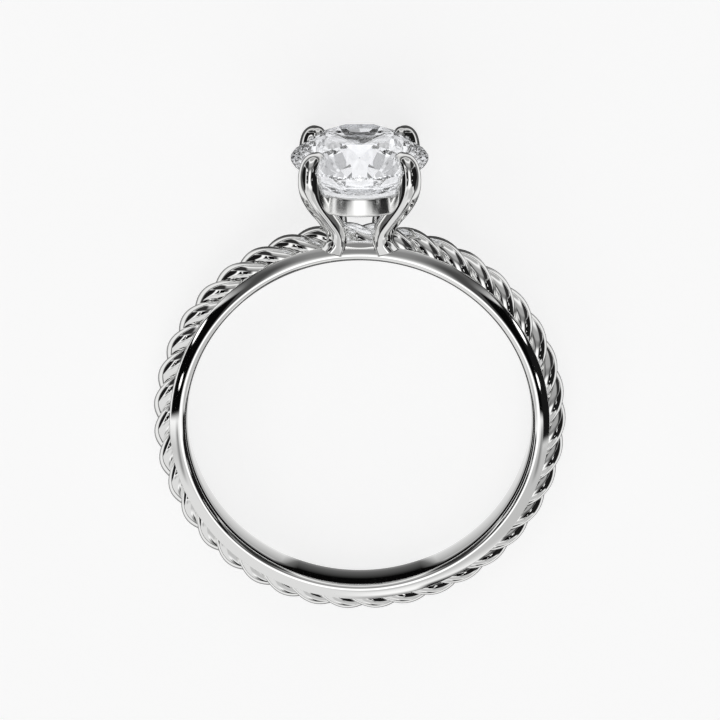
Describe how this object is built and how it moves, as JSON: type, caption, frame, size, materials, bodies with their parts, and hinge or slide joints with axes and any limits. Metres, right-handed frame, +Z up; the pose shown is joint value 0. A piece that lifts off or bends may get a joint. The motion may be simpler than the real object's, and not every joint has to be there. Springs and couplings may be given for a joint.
{
  "type": "twisted shank ring",
  "caption": "Solitaire finger ring: comfort-fit band with a twisted rope shank and a raised prong head that holds a round brilliant.",
  "frame": {"origin": "centre of the bottom of the box round the ring, on the ground, as the ring lies on its side", "axes": "+Z up, +Y level from the band towards the head and the stone, +X across the band; the bore's axis leans back from +Z by 5.69 degrees, towards -Y"},
  "size_m": [0.0198, 0.0242, 0.0065],
  "materials": {
    "white_metal": "mirror polished white gold",
    "stone": "clear faceted and polished"
  },
  "bodies": {
    "root": {"mounting": "white_metal", "centre_stone": "stone"}
  },
  "joints": []
}
